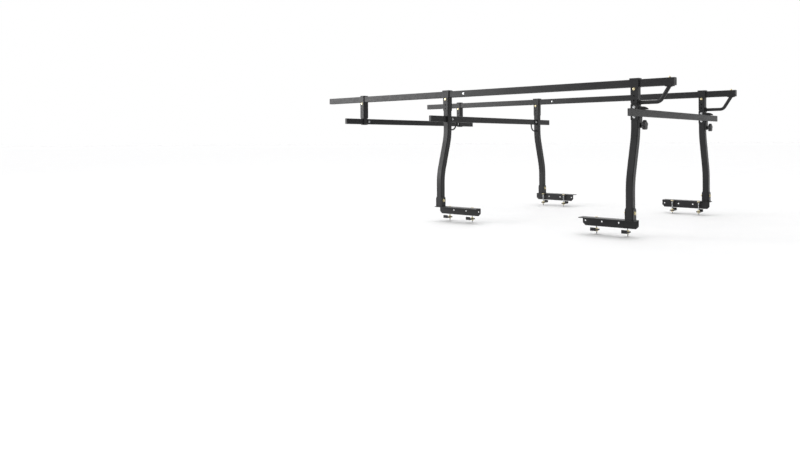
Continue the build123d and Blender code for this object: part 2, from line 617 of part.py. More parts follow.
save(group(zinc_nuts), "frame_nuts")

silver = []
splice_bolt = make_bolt(M8, RAIL_WIDTH + BOLT_SPARE)
clip_grip = BAR_DEPTH + CLIP_THICK
clip_bolt = make_bolt(M8, clip_grip + BOLT_SPARE)
for side in (LEFT, RIGHT):
    start = (side * (RAIL_X + RAIL_WIDTH / 2), SPLICE_BOLT_Y, RAIL_MID_Z)
    silver.extend(bolt_and_nut(splice_bolt, M8_NUT, start, (-side, 0, 0), RAIL_WIDTH))
for y in (POST_Y, CAB_Y):
    for x in clip_bolt_xs():
        start = (x, y - BAR_DEPTH / 2 - CLIP_THICK, CROSSBAR_Z)
        silver.extend(bolt_and_nut(clip_bolt, M8_NUT, start, (0, 1, 0), clip_grip))
save(group(silver), "splice_and_clip_bolts")


# ---------------------------------------------------------------- end caps
def make_cap(width, height, wall, corner):
    """Tube end cap: a flange on Z = 0 rising outwards and a plug going into the tube."""
    inset = 2 * (wall + FIT_GAP)
    with BuildPart() as cap:
        with BuildSketch(Plane.XY):
            RectangleRounded(width, height, corner)
        extrude(amount=CAP_FLANGE)
        chamfer(cap.edges().group_by(Axis.Z)[-1], CAP_EDGE)
        with BuildSketch(Plane.XY):
            RectangleRounded(width - inset, height - inset, corner)
        extrude(amount=-CAP_PLUG)
    return cap.part


rail_cap = make_cap(RAIL_WIDTH, RAIL_HEIGHT, RAIL_WALL, RAIL_CORNER)
bar_cap = make_cap(BAR_DEPTH, BAR_HEIGHT, BAR_WALL, BAR_CORNER)


def capped(cap, origin, direction, across):
    """The cap moved to a tube end, with its width along the across direction."""
    return cap.moved(Plane(origin=origin, x_dir=across, z_dir=direction).location)


fixed_caps = []
for side in (LEFT, RIGHT):
    x = side * RAIL_X
    fixed_caps.append(capped(rail_cap, (x, RAIL_FRONT, RAIL_MID_Z), (0, 1, 0), (1, 0, 0)))
    fixed_caps.append(capped(rail_cap, (x, RAIL_REAR, RAIL_MID_Z), (0, -1, 0), (1, 0, 0)))
    for y in (POST_Y, CAB_Y):
        bar_end = (side * CROSSBAR_LENGTH / 2, y, CROSSBAR_Z)
        fixed_caps.append(capped(bar_cap, bar_end, (side, 0, 0), (0, 1, 0)))
save(group(fixed_caps), "tube_end_caps")
rear_caps = [capped(bar_cap, (side * CROSSBAR_LENGTH / 2, REAR_BAR_Y, CROSSBAR_Z),
                    (side, 0, 0), (0, 1, 0)) for side in (LEFT, RIGHT)]
save(group(rear_caps), "crossbar_rear_caps")
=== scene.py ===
import json
import math

import bmesh
import bpy
import numpy as np
from mathutils import Matrix, Vector


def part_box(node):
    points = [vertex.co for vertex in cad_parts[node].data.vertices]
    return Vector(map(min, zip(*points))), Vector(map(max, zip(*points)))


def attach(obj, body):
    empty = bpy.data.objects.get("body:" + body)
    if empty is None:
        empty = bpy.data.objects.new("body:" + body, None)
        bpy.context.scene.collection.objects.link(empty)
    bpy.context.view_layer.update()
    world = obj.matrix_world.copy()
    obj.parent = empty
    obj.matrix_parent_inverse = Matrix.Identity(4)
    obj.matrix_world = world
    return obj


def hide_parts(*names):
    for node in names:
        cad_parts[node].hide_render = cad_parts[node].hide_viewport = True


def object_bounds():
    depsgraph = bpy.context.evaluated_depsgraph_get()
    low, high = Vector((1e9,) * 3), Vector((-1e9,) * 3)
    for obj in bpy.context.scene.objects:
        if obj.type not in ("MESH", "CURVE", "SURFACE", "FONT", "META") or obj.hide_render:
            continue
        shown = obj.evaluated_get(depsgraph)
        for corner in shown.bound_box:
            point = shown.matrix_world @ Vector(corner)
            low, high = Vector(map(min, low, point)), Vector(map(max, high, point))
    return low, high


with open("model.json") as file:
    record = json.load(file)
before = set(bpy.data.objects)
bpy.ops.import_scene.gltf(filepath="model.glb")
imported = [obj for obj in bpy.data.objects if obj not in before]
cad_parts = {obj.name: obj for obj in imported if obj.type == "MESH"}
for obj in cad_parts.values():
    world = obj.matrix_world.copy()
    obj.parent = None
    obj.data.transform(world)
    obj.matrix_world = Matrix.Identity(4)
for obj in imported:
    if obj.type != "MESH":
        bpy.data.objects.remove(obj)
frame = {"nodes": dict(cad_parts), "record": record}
CAD_BOX = [list(corner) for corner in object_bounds()]

MM = 0.001
MERGE = 0.004 * MM                  # vertices closer than this are one
SLOT_OF = {row["node"]: row["material_slot"] for row in frame["record"]["subparts"]}
SIDES = ("left", "right")
ENDS = ("front", "rear")
UP, BACK = Vector((0, 0, 1)), Vector((0, -1, 0))

# fasteners
PITCH = {8: 1.25 * MM, 10: 1.5 * MM}      # coarse thread pitch by nominal diameter
THREADED = {8: 22 * MM, 10: 96 * MM}      # threaded length, from the bolt's tip
THREAD_DEPTH = 0.61                       # depth of a thread over its pitch
THREAD_PROFILE = (0.0, 0.55, 1.0, 0.55)   # height of the thread at each step across its pitch
CORE_SHARE = 0.999                        # radius of the solid core over the thread's root
PLAIN_SHANK = 2 * MM                      # least unthreaded length under a head
SHANK_SHARE = 0.98                        # radius of the unthreaded shank over the thread's
SHANK_SINK, SHANK_EDGE = 0.5 * MM, 0.3 * MM      # how far it runs into the head, and its chamfer
HALF_WIDTH_SPLIT = 7.5 * MM               # between the half widths of an M8's and an M10's hexagon
HEAD_MARGIN = 0.5 * MM                    # what stands out further from a shank is its head
SHORTEST_BOLT = 30 * MM                   # a longer solid is a bolt or a stud, a shorter one a nut
NUT_BORE = 0.46                           # radius of a nut's bore over the nominal diameter
BORE_EDGE = 0.5 * MM                      # how far the bore's mouth flares
TURNED = 0.95                             # radius of a hexagon's flat top over its half width
TURNED_SLOPE = math.radians(30)           # slope of the corners turned off below that top
DISH_OUTER, DISH_INNER, DISH_DEPTH = 0.72, 0.66, 0.4 * MM    # radii over the head's half width
COLLAR = 1.4                              # flange radius over the hexagon's half width
COLLAR_HEIGHT, COLLAR_EDGE, COLLAR_FALL = 1.1 * MM, 0.3 * MM, 0.5 * MM
PASS_REACH = 6 * MM                       # how far outside its bolt's box a nut's centre may lie
HALF_JAW = 4 * MM                         # half the thickness of a clamp's jaw
HEX_STEPS, THREAD_STEPS, THREAD_TURN_STEPS = 60, 18, len(THREAD_PROFILE)


# ---------------------------------------------------------------- material nodes
class Nodes:
    """A new material's node tree, with short ways to add nodes."""

    def __init__(self, name, color, roughness, metallic=0.0):
        self.material = bpy.data.materials.new(name)
        self.material.use_nodes = True
        self.tree = self.material.node_tree
        self.shader = self.tree.nodes["Principled BSDF"]
        self.shader.inputs["Base Color"].default_value = (*color, 1)
        self.shader.inputs["Roughness"].default_value = roughness
        self.shader.inputs["Metallic"].default_value = metallic
        self.place = self.add("ShaderNodeTexCoord").outputs["Object"]

    def add(self, kind, **settings):
        node = self.tree.nodes.new(kind)
        for key, value in settings.items():
            setattr(node, key, value)
        return node

    def link(self, output, target):
        self.tree.links.new(output, target)

    def noise(self, scale, detail, roughness=0.5, stretch=None):
        """A noise from 0 to 1, with scale in features per metre."""
        node = self.add("ShaderNodeTexNoise")
        node.inputs["Scale"].default_value = scale
        node.inputs["Detail"].default_value = detail
        node.inputs["Roughness"].default_value = roughness
        place = self.place
        if stretch:
            mapping = self.add("ShaderNodeMapping")
            mapping.inputs["Scale"].default_value = stretch
            self.link(place, mapping.inputs["Vector"])
            place = mapping.outputs["Vector"]
        self.link(place, node.inputs["Vector"])
        return node.outputs["Fac"]

    def ramp(self, value, stops):
        """Colours or greys by position along a value from 0 to 1."""
        node = self.add("ShaderNodeValToRGB")
        ramp = node.color_ramp
        while len(ramp.elements) < len(stops):
            ramp.elements.new(0.5)
        for element, (position, color) in zip(ramp.elements, stops):
            element.position = position
            element.color = (*color, 1) if isinstance(color, tuple) else (color, color, color, 1)
        self.link(value, node.inputs["Fac"])
        return node.outputs["Color"]

    def mix(self, factor, a, b):
        """Colours a to b by a factor from 0 to 1; b is a plain colour."""
        node = self.add("ShaderNodeMix", data_type="RGBA")

        def enabled(name):
            return next(socket for socket in node.inputs if socket.name == name and socket.enabled)
        self.link(factor, enabled("Factor"))
        self.link(a, enabled("A"))
        enabled("B").default_value = (*b, 1)
        return next(socket for socket in node.outputs if socket.enabled)

    def bump(self, height, distance, strength, after=None):
        """A normal bent by a height, on top of an earlier bump's normal if one is given."""
        node = self.add("ShaderNodeBump")
        node.inputs["Distance"].default_value = distance
        node.inputs["Strength"].default_value = strength
        self.link(height, node.inputs["Height"])
        if after:
            self.link(after, node.inputs["Normal"])
        return node.outputs["Normal"]

    def finish(self, color, roughness, normal):
        """The material, with these outputs on its shader; a roughness of None stays uniform."""
        for value, name in ((color, "Base Color"), (roughness, "Roughness"), (normal, "Normal")):
            if value:
                self.link(value, self.shader.inputs[name])
        return self.material


def powder_coat():
    """Satin black powder coat: fine pebbled skin, faint clouding, and dust on what faces up."""
    m = Nodes("powder_coat", (0.012, 0.012, 0.013), 0.40)
    m.shader.inputs["Specular IOR Level"].default_value = 0.36
    cloud = m.noise(7, detail=4, roughness=0.6)
    base = m.ramp(cloud, [(0.3, (0.009, 0.009, 0.010)), (0.7, (0.015, 0.015, 0.016))])
    speck = m.ramp(m.noise(520, detail=1), [(0.62, 0.0), (0.78, 0.35)])
    base = m.mix(speck, base, (0.040, 0.040, 0.042))
    normal = m.add("ShaderNodeSeparateXYZ")
    m.link(m.add("ShaderNodeNewGeometry").outputs["Normal"], normal.inputs["Vector"])
    facing_up = m.ramp(normal.outputs["Z"], [(0.7, 0.0), (1.0, 0.15)])
    base = m.mix(facing_up, base, (0.085, 0.082, 0.077))
    rough = m.ramp(m.noise(60, detail=3), [(0.3, 0.36), (0.7, 0.46)])
    pebble = m.bump(m.noise(1100, detail=2, roughness=0.55), 0.05 * MM, 0.9)
    wave = m.bump(m.noise(160, detail=1), 0.05 * MM, 0.6, after=pebble)
    return m.finish(base, rough, wave)


def zinc(name, tones, roughness):
    """Plated steel whose passivation shifts in tone, with fine handling scratches."""
    m = Nodes(name, tones[1], roughness, metallic=1.0)
    drift = m.noise(140, detail=3, roughness=0.6)
    color = m.ramp(drift, [(0.30, tones[0]), (0.50, tones[1]), (0.68, tones[2])])
    stain = m.ramp(m.noise(900, detail=2), [(0.60, 0.0), (0.75, 0.5)])
    color = m.mix(stain, color, tuple(0.6 * c for c in tones[1]))
    rough = m.ramp(m.noise(420, detail=3), [(0.3, roughness - 0.07), (0.7, roughness + 0.12)])
    scratch = m.bump(m.noise(1500, detail=2, stretch=(1, 1, 0.12)), 0.02 * MM, 0.7)
    return m.finish(color, rough, scratch)


def moulded_plastic(name, color, roughness, grain, depth):
    """Moulded black plastic: eroded-mould grain, faint flow marks and scuffs."""
    m = Nodes(name, color, roughness)
    light = tuple(1.9 * c for c in color)
    tone = m.ramp(m.noise(55, detail=4, roughness=0.6), [(0.35, color), (0.75, light)])
    rough = m.ramp(m.noise(240, detail=3), [(0.3, roughness - 0.08), (0.7, roughness + 0.10)])
    cells = m.add("ShaderNodeTexVoronoi")
    cells.inputs["Scale"].default_value = grain
    m.link(m.place, cells.inputs["Vector"])
    skin = m.bump(cells.outputs["Distance"], depth, 0.8)
    return m.finish(tone, rough, skin)


def pale_floor():
    """Matt pale studio floor with a barely visible mottle."""
    m = Nodes("pale_floor", (0.85, 0.85, 0.85), 0.75)
    tone = m.ramp(m.noise(3, detail=5), [(0.3, (0.84, 0.84, 0.845)), (0.7, (0.86, 0.86, 0.86))])
    return m.finish(tone, None, m.bump(m.noise(260, detail=2), 0.1 * MM, 0.4))


YELLOW = ((0.72, 0.72, 0.46), (0.90, 0.80, 0.50), (0.90, 0.73, 0.53))
SILVER = ((0.60, 0.63, 0.68), (0.70, 0.71, 0.72), (0.78, 0.77, 0.74))
MATERIALS = {
    "black_powder_coat": powder_coat(),
    "yellow_zinc": zinc("yellow_zinc", YELLOW, 0.30),
    "bright_zinc": zinc("bright_zinc", SILVER, 0.26),
    "black_plastic": moulded_plastic("black_plastic", (0.035, 0.035, 0.036), 0.55, 700, 0.06 * MM),
    "knob_plastic": moulded_plastic("knob_plastic", (0.010, 0.010, 0.011), 0.42, 1100, 0.05 * MM),
}
for node_name, cad_object in frame["nodes"].items():
    cad_object.data.materials.clear()
    cad_object.data.materials.append(MATERIALS[SLOT_OF[node_name]])


# ---------------------------------------------------------------- mesh making
def skin(rings, loop=False):
    """Verts and faces of a surface through rings of equal length: capped, or closed on itself."""
    count = len(rings[0])
    verts = [tuple(point) for ring in rings for point in ring]
    faces = []
    for a in range(len(rings) if loop else len(rings) - 1):
        b = (a + 1) % len(rings)
        for i in range(count):
            j = (i + 1) % count
            faces.append((a * count + i, a * count + j, b * count + j, b * count + i))
    if not loop:
        last = (len(rings) - 1) * count
        faces.append(tuple(range(count))[::-1])
        faces.append(tuple(range(last, last + count)))
    return verts, faces


def joined(shapes):
    """Several (verts, faces) as one."""
    verts, faces = [], []
    for shape_verts, shape_faces in shapes:
        start = len(verts)
        verts.extend(shape_verts)
        faces.extend(tuple(start + i for i in face) for face in shape_faces)
    return verts, faces


def placed(shape, origin, axis, across):
    """A shape whose local Z goes along axis and local X along across, moved to origin."""
    z = Vector(axis).normalized()
    x = Vector(across).normalized()
    turn = Matrix((x, z.cross(x), z)).transposed()
    return [tuple(turn @ Vector(v) + Vector(origin)) for v in shape[0]], shape[1]


def make_piece(name, shape, body, slot, replaces=(), sharp=32.0):
    """A new mesh object that rides on a body and takes its finish from a slot."""
    mesh = bpy.data.meshes.new(name)
    mesh.from_pydata(shape[0], [], shape[1])
    bm = bmesh.new()
    bm.from_mesh(mesh)
    bmesh.ops.remove_doubles(bm, verts=bm.verts, dist=MERGE)
    bmesh.ops.dissolve_degenerate(bm, edges=bm.edges, dist=MERGE)
    bmesh.ops.recalc_face_normals(bm, faces=bm.faces)
    bm.to_mesh(mesh)
    bm.free()
    mesh.shade_smooth()
    mesh.set_sharp_from_angle(angle=math.radians(sharp))
    mesh.materials.append(MATERIALS[slot])
    piece = bpy.data.objects.new(name, mesh)
    bpy.context.scene.collection.objects.link(piece)
    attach(piece, body)
    if replaces:
        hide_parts(*replaces)
    return piece


def body_of_node(node):
    return next(b for b, nodes in frame["record"]["behaviour"]["bodies"].items() if node in nodes)


def joint_point(name):
    """A point on a joint's axis."""
    joint = next(j for j in frame["record"]["behaviour"]["joints"] if j["name"] == name)
    return Vector(joint["pos_m"])


def solids_of(node):
    """(lowest corner, highest corner, vertices) of each separate solid in a CAD node."""
    bm = bmesh.new()
    bm.from_mesh(frame["nodes"][node].data)
    bmesh.ops.remove_doubles(bm, verts=bm.verts, dist=MERGE)
    found, seen = [], set()
    for first in bm.verts:
        if first in seen:
            continue
        island, front = [], [first]
        seen.add(first)
        while front:
            vert = front.pop()
            island.append(vert.co.copy())
            for edge in vert.link_edges:
                other = edge.other_vert(vert)
                if other not in seen:
                    seen.add(other)
                    front.append(other)
        points = np.array(island)
        found.append((Vector(points.min(0)), Vector(points.max(0)), points))
    bm.free()
    return found


# ---------------------------------------------------------------- threaded fasteners
def circle(radius, z, count):
    """Ring at height z; radius and z may vary with the angle."""
    ring = []
    for i in range(count):
        angle = 2 * math.pi * i / count
        r = radius(angle) if callable(radius) else radius
        height = z(angle) if callable(z) else z
        ring.append((r * math.cos(angle), r * math.sin(angle), height))
    return ring


def hexagon(half_width):
    """Radius of a hexagon by angle, with a flat side facing +X."""
    sector = math.pi / 3

    def radius(angle):
        return half_width / math.cos((angle + sector / 2) % sector - sector / 2)
    return radius


def hex_rings(half_width, low, high):
    """Outer rings of a hexagonal head from z low to high, with its upper corners turned off."""
    side = hexagon(half_width)
    turned = TURNED * half_width
    slope = math.tan(TURNED_SLOPE)

    def cut(angle):
        return (side(angle) - turned) * slope
    return [circle(side, low, HEX_STEPS),
            circle(side, lambda angle: high - cut(angle), HEX_STEPS),
            circle(turned, high, HEX_STEPS)]


def collar_rings(half_width):
    """Rings of the flange under a head or nut, from its bearing face up to the hexagon."""
    outer = COLLAR * half_width
    return [circle(outer - COLLAR_EDGE, 0, HEX_STEPS),
            circle(outer, COLLAR_EDGE, HEX_STEPS),
            circle(outer, 2 * COLLAR_EDGE, HEX_STEPS),
            circle(outer - COLLAR_FALL, COLLAR_HEIGHT, HEX_STEPS)]


def head(half_width, height):
    """Flanged hex head standing on Z = 0, with a shallow dish in its top."""
    rings = collar_rings(half_width)
    rings += hex_rings(half_width, COLLAR_HEIGHT, height)
    rings.append(circle(DISH_OUTER * half_width, height, HEX_STEPS))
    rings.append(circle(DISH_INNER * half_width, height - DISH_DEPTH, HEX_STEPS))
    return skin(rings)


def nut(half_width, height, bore):
    """Flanged hex nut standing on Z = 0, with its bore open."""
    mouth, inside = bore + BORE_EDGE, 2 * COLLAR_EDGE
    rings = [circle(mouth, 0, HEX_STEPS)]
    rings += collar_rings(half_width)
    rings += hex_rings(half_width, COLLAR_HEIGHT, height)
    rings += [circle(mouth, height, HEX_STEPS),
              circle(bore, height - inside, HEX_STEPS),
              circle(bore, inside, HEX_STEPS)]
    return skin(rings, loop=True)


def thread(radius, pitch, low, high):
    """Rod with a helical thread from z low to high; the thread runs out at both ends."""
    depth = THREAD_DEPTH * pitch
    length = high - low
    turns = math.ceil(length / pitch) + 1
    lines = turns * THREAD_TURN_STEPS + 1
    verts = []
    for j in range(-THREAD_TURN_STEPS, lines):
        for i in range(THREAD_STEPS):
            share = i / THREAD_STEPS
            z = min(max((j / THREAD_TURN_STEPS + share) * pitch, 0.0), length)
            fade = min(1.0, z / pitch, (length - z) / pitch)
            r = radius - depth * (1 - fade * THREAD_PROFILE[j % THREAD_TURN_STEPS])
            angle = 2 * math.pi * share
            verts.append((r * math.cos(angle), r * math.sin(angle), low + z))
    rows = lines + THREAD_TURN_STEPS
    faces = []
    for j in range(rows - 1 - THREAD_TURN_STEPS):
        for i in range(THREAD_STEPS):
            a = j * THREAD_STEPS + i
            if i < THREAD_STEPS - 1:
                b = a + 1
            else:
                b = (j + THREAD_TURN_STEPS) * THREAD_STEPS
            faces.append((a, b, b + THREAD_STEPS, a + THREAD_STEPS))
    core = (radius - depth) * CORE_SHARE
    solid_core = skin([circle(core, low, THREAD_STEPS), circle(core, high, THREAD_STEPS)])
    return joined([(verts, faces), solid_core])


def rod(radius, low, high, edge):
    """Plain round rod with a chamfered lower end."""
    steps = HEX_STEPS // 2
    return skin([circle(radius - edge, low, steps),
                 circle(radius, low + edge, steps),
                 circle(radius, high, steps)])


def fastener_frame(low, high, along):
    """(nominal diameter, axis index, across index, hexagon's half width) of a bolt or nut."""
    size = high - low
    if along == "longest":
        axis = max(range(3), key=lambda i: size[i])
    else:
        axis = min(range(3), key=lambda i: size[i])
    others = [i for i in range(3) if i != axis]
    flat = min(others, key=lambda i: size[i])
    half_width = size[flat] / 2
    nominal = 8 if half_width < HALF_WIDTH_SPLIT else 10
    return nominal, axis, flat, half_width


def unit(index, sign=1.0):
    vector = Vector((0, 0, 0))
    vector[index] = sign
    return vector


def bolt_shapes(node, parts=("head", "shank")):
    """Detailed bolts and headless studs in the places of a node's plain ones.

    With them comes each one's box and the place that its head, or a stud's foot, sits at.
    """
    shapes, heads = [], []
    for low, high, points in solids_of(node):
        size = high - low
        if max(size) < SHORTEST_BOLT:
            continue
        nominal, axis, flat, half_width = fastener_frame(low, high, "longest")
        centre = (low + high) / 2
        off_axis = np.linalg.norm(np.delete(points - np.array(centre), axis, 1), axis=1)
        wide = points[off_axis > nominal * MM / 2 + HEAD_MARGIN][:, axis]
        if not len(wide):
            foot = centre.copy()
            foot[axis] = low[axis]
            stud = thread(nominal * MM / 2, PITCH[nominal], 0, size[axis])
            shapes.append(placed(stud, foot, unit(axis), unit(flat)))
            heads.append((low, high, foot))
            continue
        sign = 1.0 if wide.mean() > centre[axis] else -1.0
        bearing = wide.min() if sign > 0 else wide.max()
        height = (high[axis] if sign > 0 else low[axis]) * sign - bearing * sign
        length = size[axis] - height
        origin = centre.copy()
        origin[axis] = bearing
        radius = nominal * MM / 2
        split = -length + min(THREADED[nominal], length - PLAIN_SHANK)
        made = []
        if "head" in parts:
            made.append(head(half_width, height))
        if "shank" in parts:
            shank = rod(radius * SHANK_SHARE, split - PITCH[nominal], SHANK_SINK, SHANK_EDGE)
            made.append(shank)
            made.append(thread(radius, PITCH[nominal], -length, split))
        shapes.append(placed(joined(made), origin, unit(axis, sign), unit(flat)))
        heads.append((low, high, origin))
    return shapes, heads


def nut_shapes(node, towards):
    """Detailed nuts in the places of a node's plain ones, and their centres.

    towards gives the point that a nut's bearing face looks at, from the nut's centre.
    """
    shapes, places = [], []
    for low, high, _ in solids_of(node):
        if max(high - low) > SHORTEST_BOLT:
            continue
        nominal, axis, flat, half_width = fastener_frame(low, high, "shortest")
        centre = (low + high) / 2
        height = high[axis] - low[axis]
        sign = -1.0 if towards(centre)[axis] > centre[axis] else 1.0
        origin = centre.copy()
        origin[axis] -= sign * height / 2
        shape = nut(half_width, height, NUT_BORE * nominal * MM)
        shapes.append(placed(shape, origin, unit(axis, sign), unit(flat)))
        places.append(centre)
    return shapes, places


def head_beside(heads):
    """Finds the head of the bolt that passes through a nut."""
    def towards(centre):
        for low, high, origin in heads:
            if all(low[i] - PASS_REACH < centre[i] < high[i] + PASS_REACH for i in range(3)):
                return origin
        raise ValueError(f"no bolt passes through the nut at {tuple(centre)}")
    return towards


def make_frame_fasteners():
    """The frame's bolts and nuts; the receivers' own are bright zinc."""
    low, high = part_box("crossbar_receiver_left")
    bolts, heads = bolt_shapes("frame_bolts")
    nuts, places = nut_shapes("frame_nuts", head_beside(heads))
    for kind, shapes, spots in (("bolts", bolts, [foot for _, _, foot in heads]),
                                ("nuts", nuts, places)):
        held = [low.z < spot.z < high.z for spot in spots]
        make_piece(f"receiver_flange_{kind}", joined([s for s, at in zip(shapes, held) if at]),
                   "rack_frame", "bright_zinc", [f"frame_{kind}"])
        make_piece(f"frame_flange_{kind}", joined([s for s, at in zip(shapes, held) if not at]),
                   "rack_frame", "yellow_zinc", [f"frame_{kind}"])


def make_fasteners():
    """The splices' and clips' hardware, the clamps' bolts and nuts, and the knobs' studs."""
    silver_bolts, silver_heads = bolt_shapes("splice_and_clip_bolts")
    silver_nuts, _ = nut_shapes("splice_and_clip_bolts", head_beside(silver_heads))
    make_piece("splice_and_clip_fasteners", joined(silver_bolts + silver_nuts), "rack_frame",
               "bright_zinc", ["splice_and_clip_bolts"])
    # The clamp bolts' shanks get bright zinc, silver against their yellow zinc heads: a painted
    # highlight that stands for the sheen along a yellow zinc thread, not a second plating.
    for part, slot in (("head", "yellow_zinc"), ("shank", "bright_zinc")):
        clamp_bolts, _ = bolt_shapes("clamp_bolts", parts=(part,))
        make_piece(f"clamp_bolt_{part}s", joined(clamp_bolts), "rack_frame", slot, ["clamp_bolts"])
    for node in sorted(frame["nodes"]):
        if node.startswith("clamp_nuts_"):
            jaw_low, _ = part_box(node.replace("nuts", "jaw"))
            jaw_middle = jaw_low.z + HALF_JAW
            nuts, _ = nut_shapes(node, lambda centre: Vector((0, 0, jaw_middle)))
            make_piece(node.replace("clamp_nuts", "clamp_flange_nuts"), joined(nuts),
                       body_of_node(node), "yellow_zinc", [node])
    for side in SIDES:
        low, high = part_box(f"knob_stud_{side}")
        centre = (low + high) / 2
        stud = thread((high.x - low.x) / 2, PITCH[8], 0, high.y - low.y)
        make_piece(f"knob_threaded_stud_{side}",
                   placed(stud, (centre.x, low.y, centre.z), (0, 1, 0), (1, 0, 0)),
                   f"knob_{side}", "yellow_zinc", [f"knob_stud_{side}"])


make_frame_fasteners()
make_fasteners()


# ---------------------------------------------------------------- clamping knobs
KNOB_STEPS, KNOB_LOBES = 120, 5
LOBE_POWER = 0.6                          # 1 gives lobes like a plain wave, less gives broader ones
HUB_RADIUS, GRIP_VALLEY = 13 * MM, 25 * MM
# distance from the hub's face, share of the lobed outline against the hub's circle, and scale
KNOB_PROFILE = [(0.0, 0.0, 0.90), (0.6, 0.0, 1.00), (9.0, 0.0, 0.94), (12.0, 0.15, 1.00),
                (13.2, 0.80, 0.93), (14.4, 1.00, 0.965), (16.0, 1.00, 1.00), (24.0, 1.00, 1.00),
                (30.0, 1.00, 0.985), (32.6, 1.00, 0.965), (34.2, 1.00, 0.915), (34.9, 1.00, 0.84),
                (34.6, 0.70, 0.80), (34.0, 0.20, 0.98), (33.8, 0.00, 0.82), (34.3, 0.00, 0.76),
                (34.6, 0.00, 0.66), (34.7, 0.00, 0.35)]


def make_knob(side):
    """Five-lobed clamping knob with a tapered hub, rounded grip and a button in its face."""
    _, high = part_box(f"knob_{side}")
    axis = joint_point(f"knob_{side}_turn")
    tip = high.z - axis.z

    def lobed(angle):
        wave = 0.5 + 0.5 * math.cos(KNOB_LOBES * (angle - math.pi / 2))
        return GRIP_VALLEY + (tip - GRIP_VALLEY) * wave ** LOBE_POWER

    rings = []
    for distance, share, scale in KNOB_PROFILE:
        def radius(angle, share=share, scale=scale):
            return scale * (HUB_RADIUS + share * (lobed(angle) - HUB_RADIUS))
        rings.append(circle(radius, distance * MM, KNOB_STEPS))
    centre = Vector((axis.x, high.y, axis.z))
    shape = placed(skin(rings), centre, BACK, (1, 0, 0))
    make_piece(f"star_knob_{side}", shape, f"knob_{side}", "knob_plastic", [f"knob_{side}"],
               sharp=50)


for side in SIDES:
    make_knob(side)


# ---------------------------------------------------------------- tube end caps
CORNER_STEPS = 6
CAP_THICK = 3 * MM                        # cap outside the tube's end
WIDE_TUBE = 30 * MM                       # the rails are wider than this, the crossbars narrower
WIDE_CORNER, NARROW_CORNER, LEAST_CORNER = 4 * MM, 3 * MM, 0.6 * MM
# height from the tube's end, and inset from the tube's outline, for each ring of a cap
CAP_PROFILE = [(-15.0, 3.2), (-14.0, 2.4), (-0.4, 2.3), (0.0, 2.3), (0.0, 0.1), (0.3, 0.0),
               (1.9, 0.0), (2.6, 0.3), (2.92, 0.9), (3.0, 1.6), (3.0, 3.0), (2.7, 3.6), (2.4, 4.1)]


def rounded_outline(width, height, corner, inset, z):
    """Rounded rectangle of points at height z, inset from its full size."""
    half_x, half_y = width / 2 - inset, height / 2 - inset
    r = max(corner - inset, LEAST_CORNER)
    ring = []
    for quarter, (sx, sy) in enumerate(((1, 1), (-1, 1), (-1, -1), (1, -1))):
        for i in range(CORNER_STEPS):
            angle = (quarter + i / (CORNER_STEPS - 1)) * math.pi / 2
            ring.append((sx * (half_x - r) + r * math.cos(angle),
                         sy * (half_y - r) + r * math.sin(angle), z))
    return ring


def cap_shapes(node):
    """Push-in caps with a rounded rim and a dished face, in the places of a node's plain ones."""
    shapes = []
    for low, high, _ in solids_of(node):
        size = high - low
        centre = (low + high) / 2
        axis = min(range(3), key=lambda i: size[i])
        sign = 1.0 if centre[axis] > 0 else -1.0
        origin = centre.copy()
        origin[axis] = (high[axis] if sign > 0 else low[axis]) - sign * CAP_THICK
        across = 0 if axis == 1 else 1
        corner = WIDE_CORNER if size[across] > WIDE_TUBE else NARROW_CORNER
        rings = [rounded_outline(size[across], size.z, corner, inset * MM, z * MM)
                 for z, inset in CAP_PROFILE]
        shapes.append(placed(skin(rings), origin, unit(axis, sign), unit(across)))
    return shapes


make_piece("tube_push_caps", joined(cap_shapes("tube_end_caps")), "rack_frame", "black_plastic",
           ["tube_end_caps"])
make_piece("rear_crossbar_push_caps", joined(cap_shapes("crossbar_rear_caps")), "rear_crossbar",
           "black_plastic", ["crossbar_rear_caps"])


# ---------------------------------------------------------------- weld beads
BEAD_RADIUS, RIPPLE_PITCH, RIPPLE_STEPS, BEAD_SIDES = 3.0 * MM, 2.2 * MM, 4, 10
RIPPLE = 0.13                             # height of a ripple over the bead's radius
BEAD_END, BEAD_GROWTH = 0.35, 0.2         # radius at an open bead's end, and its growth each point
LEAST_STEPS = 6
EAR_GAP, EAR_THICK, PAD_THICK = 0.2 * MM, 5 * MM, 5 * MM
EAR_BEAD = (4 * MM, 46 * MM)              # its two ends, from the post's outer face
BRACE_RADIUS, BRACE_PLATE, BRACE_HALF_PLATE = 12.5 * MM, 5 * MM, 19 * MM
BRACE_TOP = 26 * MM                       # from the brace's rear end to the tube's middle up there
BRACE_SLANT = 1.16                        # the slanted tube's half length over its radius there
HANGER_EAR = 4 * MM
HANGER_FRONT, HANGER_REAR = 2 * MM, 3 * MM    # how far short of the bar's faces the ears' beads end


def bead(path, closed=False, normal=UP):
    """Rippled weld bead along a path of close points that lies square to a normal."""
    path = [Vector(p) for p in path]
    count = len(path)
    rings = []
    travelled = 0.0
    for k, point in enumerate(path):
        before = path[k - 1] if k or closed else path[0]
        after = path[(k + 1) % count] if k < count - 1 or closed else path[-1]
        ahead = (after - before).normalized()
        side = ahead.cross(normal).normalized()
        rise = side.cross(ahead)
        if k:
            travelled += (point - path[k - 1]).length
        ripple = 1 + RIPPLE * abs(math.sin(math.pi * travelled / RIPPLE_PITCH))
        end_taper = 1.0
        if not closed:
            end_taper = min(1.0, BEAD_END + BEAD_GROWTH * min(k, count - 1 - k))
        r = BEAD_RADIUS * ripple * end_taper
        rings.append([point + (side * math.cos(a) + rise * math.sin(a)) * r
                      for a in (2 * math.pi * i / BEAD_SIDES for i in range(BEAD_SIDES))])
    return skin(rings, loop=closed)


def straight(start, end):
    """Points from start to end, a few for each ripple."""
    start, end = Vector(start), Vector(end)
    steps = max(LEAST_STEPS, round((end - start).length / RIPPLE_PITCH * RIPPLE_STEPS))
    return [start.lerp(end, k / steps) for k in range(steps + 1)]


